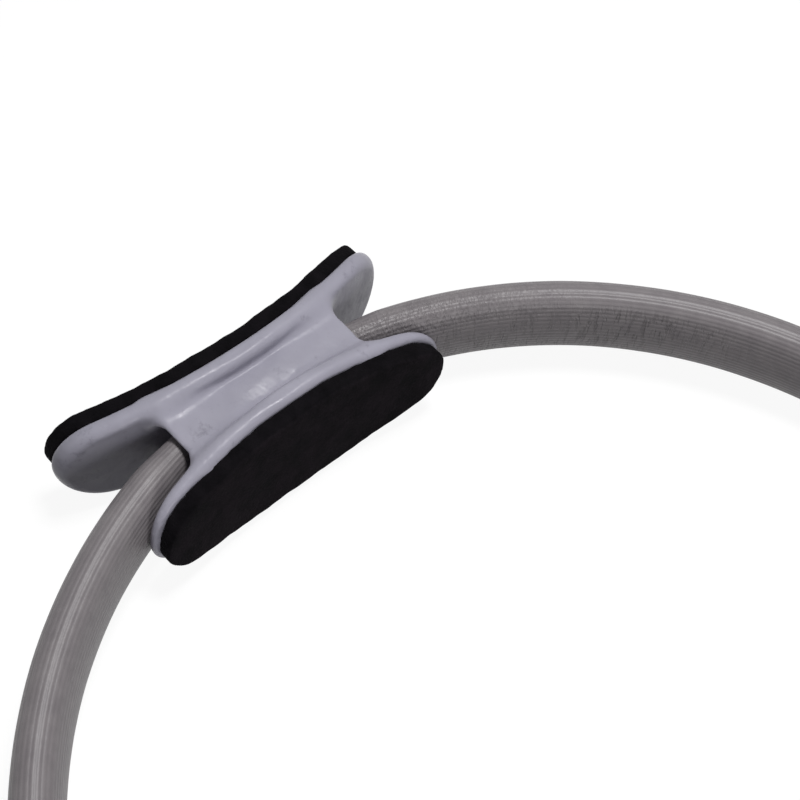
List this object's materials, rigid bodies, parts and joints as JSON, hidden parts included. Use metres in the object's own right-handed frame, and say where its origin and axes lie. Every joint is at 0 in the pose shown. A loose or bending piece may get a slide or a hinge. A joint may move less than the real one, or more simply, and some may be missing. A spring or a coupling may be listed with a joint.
{
  "type": "pilates ring",
  "caption": "Springy round exercise hoop in a ribbed foam sleeve, with padded spool-shaped handles on opposite sides that are squeezed towards each other.",
  "frame": {"origin": "centre of the hoop, halfway up its height, with the ring at rest", "axes": "+Z along the hoop's axis, X through both handles with handle a at +X"},
  "size_m": [0.425, 0.3774, 0.0494],
  "materials": {
    "handle_plastic": "moulded, glossy",
    "pad_foam": "closed-cell foam, matt",
    "sleeve_foam": "ribbed foam, matt",
    "spring_strip": "glass-fibre laminate",
    "steel": "zinc plated"
  },
  "bodies": {
    "handle_a": {"outer_shell_a": "handle_plastic", "inner_shell_a": "handle_plastic", "outer_pad_a": "pad_foam", "inner_pad_a": "pad_foam", "shell_screws_a": "steel", "splice_plate_a": "steel", "splice_rivets_a": "steel", "strip_tail_left_a": "spring_strip", "strip_tail_right_a": "spring_strip"},
    "left_link_1": {"sleeve_left_1": "sleeve_foam", "strip_left_1": "spring_strip"},
    "left_link_2": {"sleeve_left_2": "sleeve_foam", "strip_left_2": "spring_strip"},
    "left_link_3": {"sleeve_left_3": "sleeve_foam", "strip_left_3": "spring_strip"},
    "right_link_1": {"sleeve_right_1": "sleeve_foam", "strip_right_1": "spring_strip"},
    "right_link_2": {"sleeve_right_2": "sleeve_foam", "strip_right_2": "spring_strip"},
    "right_link_3": {"sleeve_right_3": "sleeve_foam", "strip_right_3": "spring_strip"},
    "handle_b": {"outer_shell_b": "handle_plastic", "inner_shell_b": "handle_plastic", "outer_pad_b": "pad_foam", "inner_pad_b": "pad_foam", "shell_screws_b": "steel", "splice_plate_b": "steel", "splice_rivets_b": "steel", "strip_tail_left_b": "spring_strip", "strip_tail_right_b": "spring_strip"}
  },
  "joints": [
    {"name": "left_mouth_a", "type": "hinge", "parent": "handle_a", "child": "left_link_1", "pos_m": [0.17572, 0.039, 0], "axis": [0, 0, -1], "range_deg": [-1, 14], "stiffness_Nm_per_rad": 17},
    {"name": "left_flex_1", "type": "hinge", "parent": "left_link_1", "child": "left_link_2", "pos_m": [0.07842, 0.16202, 0], "axis": [0, 0, 1], "range_deg": [-1, 14], "stiffness_Nm_per_rad": 17},
    {"name": "left_flex_2", "type": "hinge", "parent": "left_link_2", "child": "left_link_3", "pos_m": [-0.07842, 0.16202, 0], "axis": [0, 0, 1], "range_deg": [-1, 14], "stiffness_Nm_per_rad": 17},
    {"name": "left_mouth_b", "type": "hinge", "parent": "left_link_3", "child": "handle_b", "pos_m": [-0.17572, 0.039, 0], "axis": [0, 0, -1], "range_deg": [-1, 14], "stiffness_Nm_per_rad": 17},
    {"name": "right_mouth_a", "type": "hinge", "parent": "handle_a", "child": "right_link_1", "pos_m": [0.17572, -0.039, 0], "axis": [0, 0, 1], "range_deg": [-1, 14], "stiffness_Nm_per_rad": 17},
    {"name": "right_flex_1", "type": "hinge", "parent": "right_link_1", "child": "right_link_2", "pos_m": [0.07842, -0.16202, 0], "axis": [0, 0, -1], "range_deg": [-1, 14], "stiffness_Nm_per_rad": 17},
    {"name": "right_flex_2", "type": "hinge", "parent": "right_link_2", "child": "right_link_3", "pos_m": [-0.07842, -0.16202, 0], "axis": [0, 0, -1], "range_deg": [-1, 14], "stiffness_Nm_per_rad": 17}
  ],
  "couplings": [
    {"joint": "left_flex_1", "follows": "left_mouth_a", "ratio": 1},
    {"joint": "left_flex_2", "follows": "left_mouth_a", "ratio": 1},
    {"joint": "left_mouth_b", "follows": "left_mouth_a", "ratio": 1},
    {"joint": "right_mouth_a", "follows": "left_mouth_a", "ratio": 1},
    {"joint": "right_flex_1", "follows": "left_mouth_a", "ratio": 1},
    {"joint": "right_flex_2", "follows": "left_mouth_a", "ratio": 1}
  ]
}
